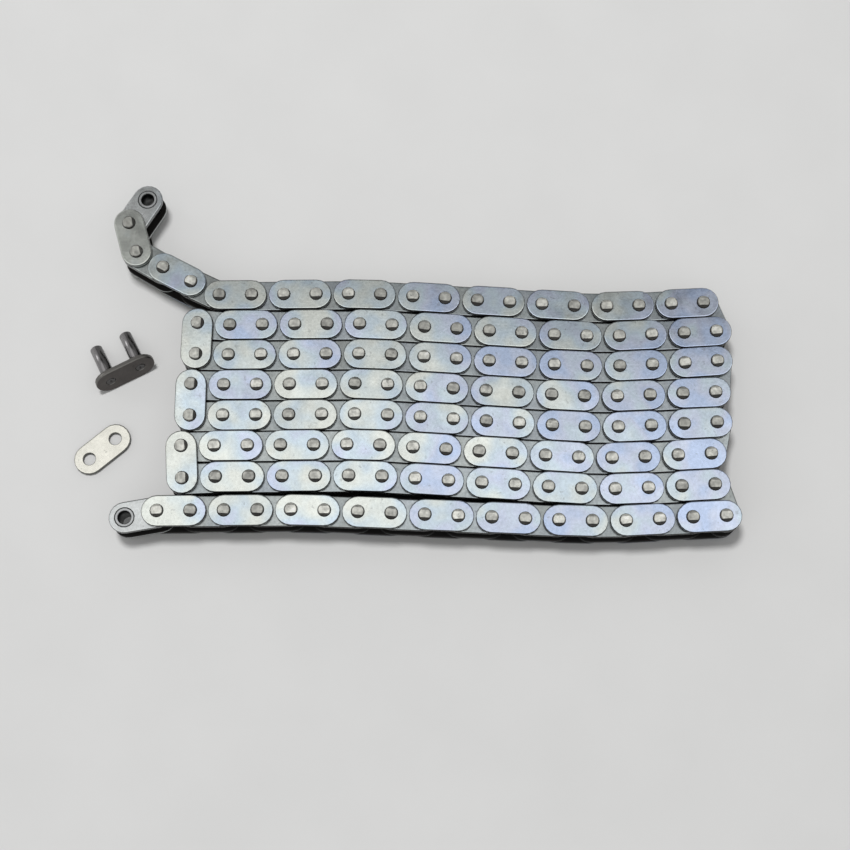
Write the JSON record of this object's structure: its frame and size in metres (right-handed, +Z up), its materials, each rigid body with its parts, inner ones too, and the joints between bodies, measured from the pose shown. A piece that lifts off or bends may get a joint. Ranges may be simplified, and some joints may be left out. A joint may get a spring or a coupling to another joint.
{
  "type": "timing chain",
  "caption": "Rollerless bush timing chain with staked pins, open at both ends and laid in folded rows, with a loose riveting connecting link and its cover plate.",
  "frame": {"origin": "centre of the open bush at the first end of the chain, halfway between the plates", "axes": "+X to the right along the folded rows, +Y across the rows towards the first row, +Z up along the pins"},
  "size_m": [0.1577, 0.088, 0.011],
  "materials": {
    "outer_plates": "polished, tumbled edges",
    "inner_plates": "satin",
    "pins": "ground, staked ends",
    "bushes": "satin",
    "connecting_link": "dark oiled",
    "cover_plate": "bright satin"
  },
  "bodies": {
    "row_1": {"row_1_outer_plates": "outer_plates", "row_1_pins": "pins", "row_1_inner_plates": "inner_plates", "row_1_bushes": "bushes"},
    "row_2": {"row_2_outer_plates": "outer_plates", "row_2_pins": "pins", "row_2_inner_plates": "inner_plates", "row_2_bushes": "bushes"},
    "row_3": {"row_3_outer_plates": "outer_plates", "row_3_pins": "pins", "row_3_inner_plates": "inner_plates", "row_3_bushes": "bushes"},
    "row_4": {"row_4_outer_plates": "outer_plates", "row_4_pins": "pins", "row_4_inner_plates": "inner_plates", "row_4_bushes": "bushes"},
    "row_5": {"row_5_outer_plates": "outer_plates", "row_5_pins": "pins", "row_5_inner_plates": "inner_plates", "row_5_bushes": "bushes"},
    "row_6": {"row_6_outer_plates": "outer_plates", "row_6_pins": "pins", "row_6_inner_plates": "inner_plates", "row_6_bushes": "bushes"},
    "row_7": {"row_7_outer_plates": "outer_plates", "row_7_pins": "pins", "row_7_inner_plates": "inner_plates", "row_7_bushes": "bushes"},
    "row_8": {"row_8_outer_plates": "outer_plates", "row_8_pins": "pins", "row_8_inner_plates": "inner_plates", "row_8_bushes": "bushes"},
    "right_turn_1": {"right_turn_1_inner_plates": "inner_plates", "right_turn_1_bushes": "bushes"},
    "right_turn_2": {"right_turn_2_inner_plates": "inner_plates", "right_turn_2_bushes": "bushes"},
    "right_turn_3": {"right_turn_3_inner_plates": "inner_plates", "right_turn_3_bushes": "bushes"},
    "right_turn_4": {"right_turn_4_inner_plates": "inner_plates", "right_turn_4_bushes": "bushes"},
    "left_turn_1": {"left_turn_1_outer_plates": "outer_plates", "left_turn_1_pins": "pins"},
    "left_turn_2": {"left_turn_2_outer_plates": "outer_plates", "left_turn_2_pins": "pins"},
    "left_turn_3": {"left_turn_3_outer_plates": "outer_plates", "left_turn_3_pins": "pins"},
    "first_end_link": {"first_end_inner_plates": "inner_plates", "first_end_bushes": "bushes"},
    "tail_link_2": {"tail_link_2_outer_plates": "outer_plates", "tail_link_2_pins": "pins"},
    "tail_link_3": {"tail_link_3_inner_plates": "inner_plates", "tail_link_3_bushes": "bushes"},
    "tail_link_4": {"tail_link_4_outer_plates": "outer_plates", "tail_link_4_pins": "pins"},
    "last_end_link": {"last_end_inner_plates": "inner_plates", "last_end_bushes": "bushes"},
    "connecting_link": {"connecting_plate": "connecting_link", "connecting_pins": "connecting_link"},
    "cover_plate": {"cover_plate": "cover_plate"}
  },
  "joints": [
    {"name": "tail_link_4_hinge", "type": "hinge", "parent": "row_1", "child": "tail_link_4", "pos_m": [0.01167, -0.02179, 0], "axis": [0, 0, 1], "range_deg": [-45, 45]},
    {"name": "tail_link_3_hinge", "type": "hinge", "parent": "tail_link_4", "child": "tail_link_3", "pos_m": [0.0048, -0.01814, 0], "axis": [0, 0, 1], "range_deg": [-45, 80]},
    {"name": "tail_link_2_hinge", "type": "hinge", "parent": "tail_link_3", "child": "tail_link_2", "pos_m": [-0.00186, -0.01414, 0], "axis": [0, 0, 1], "range_deg": [-30, 90]},
    {"name": "first_end_hinge", "type": "hinge", "parent": "tail_link_2", "child": "first_end_link", "pos_m": [-0.004, -0.00666, 0], "axis": [0, 0, 1], "range_deg": [-30, 110]},
    {"name": "right_turn_1_upper_hinge", "type": "hinge", "parent": "row_1", "child": "right_turn_1", "pos_m": [0.13514, -0.02713, 0], "axis": [0, 0, 1], "range_deg": [0, 71.69]},
    {"name": "right_turn_1_lower_hinge", "type": "hinge", "parent": "right_turn_1", "child": "row_2", "pos_m": [0.13793, -0.03438, 0], "axis": [0, 0, 1], "range_deg": [0, 107.69]},
    {"name": "left_turn_1_upper_hinge", "type": "hinge", "parent": "row_2", "child": "left_turn_1", "pos_m": [0.01369, -0.03232, 0], "axis": [0, 0, 1], "range_deg": [-92.6, 0]},
    {"name": "left_turn_1_lower_hinge", "type": "hinge", "parent": "left_turn_1", "child": "row_3", "pos_m": [0.01355, -0.04009, 0], "axis": [0, 0, 1], "range_deg": [-89.6, 0]},
    {"name": "right_turn_2_upper_hinge", "type": "hinge", "parent": "row_3", "child": "right_turn_2", "pos_m": [0.1378, -0.04182, 0], "axis": [0, 0, 1], "range_deg": [0, 99.74]},
    {"name": "right_turn_2_lower_hinge", "type": "hinge", "parent": "right_turn_2", "child": "row_4", "pos_m": [0.13699, -0.04956, 0], "axis": [0, 0, 1], "range_deg": [0, 81.74]},
    {"name": "left_turn_2_upper_hinge", "type": "hinge", "parent": "row_4", "child": "left_turn_2", "pos_m": [0.01273, -0.04754, 0], "axis": [0, 0, 1], "range_deg": [-91.6, 0]},
    {"name": "left_turn_2_lower_hinge", "type": "hinge", "parent": "left_turn_2", "child": "row_5", "pos_m": [0.01273, -0.05531, 0], "axis": [0, 0, 1], "range_deg": [-90.6, 0]},
    {"name": "right_turn_3_upper_hinge", "type": "hinge", "parent": "row_5", "child": "right_turn_3", "pos_m": [0.13699, -0.05695, 0], "axis": [0, 0, 1], "range_deg": [0, 105.98]},
    {"name": "right_turn_3_lower_hinge", "type": "hinge", "parent": "right_turn_3", "child": "row_6", "pos_m": [0.13524, -0.06452, 0], "axis": [0, 0, 1], "range_deg": [0, 73.98]},
    {"name": "left_turn_3_upper_hinge", "type": "hinge", "parent": "row_6", "child": "left_turn_3", "pos_m": [0.01098, -0.0627, 0], "axis": [0, 0, 1], "range_deg": [-93.7, 0]},
    {"name": "left_turn_3_lower_hinge", "type": "hinge", "parent": "left_turn_3", "child": "row_7", "pos_m": [0.01152, -0.07045, 0], "axis": [0, 0, 1], "range_deg": [-88.4, 0]},
    {"name": "right_turn_4_upper_hinge", "type": "hinge", "parent": "row_7", "child": "right_turn_4", "pos_m": [0.13578, -0.07192, 0], "axis": [0, 0, 1], "range_deg": [0, 76.24]},
    {"name": "right_turn_4_lower_hinge", "type": "hinge", "parent": "right_turn_4", "child": "row_8", "pos_m": [0.13805, -0.07935, 0], "axis": [0, 0, 1], "range_deg": [0, 104.24]},
    {"name": "last_end_hinge", "type": "hinge", "parent": "row_8", "child": "last_end_link", "pos_m": [0.00597, -0.07823, 0], "axis": [0, 0, 1], "range_deg": [-80, 95]},
    {"name": "connecting_link_lift", "type": "slide", "parent": "row_1", "child": "connecting_link", "axis": [0, 0, 1], "range_m": [0, 0.05]},
    {"name": "cover_plate_lift", "type": "slide", "parent": "row_1", "child": "cover_plate", "axis": [0, 0, 1], "range_m": [0, 0.05]}
  ],
  "couplings": [
    {"joint": "left_turn_1_upper_hinge", "follows": "right_turn_1_upper_hinge", "ratio": -1.2906},
    {"joint": "left_turn_1_lower_hinge", "follows": "right_turn_1_lower_hinge", "ratio": -0.83174},
    {"joint": "left_turn_2_upper_hinge", "follows": "right_turn_2_upper_hinge", "ratio": -0.91792},
    {"joint": "left_turn_2_lower_hinge", "follows": "right_turn_2_lower_hinge", "ratio": -1.1078},
    {"joint": "left_turn_3_upper_hinge", "follows": "right_turn_3_upper_hinge", "ratio": -0.88329},
    {"joint": "left_turn_3_lower_hinge", "follows": "right_turn_3_lower_hinge", "ratio": -1.1948}
  ]
}
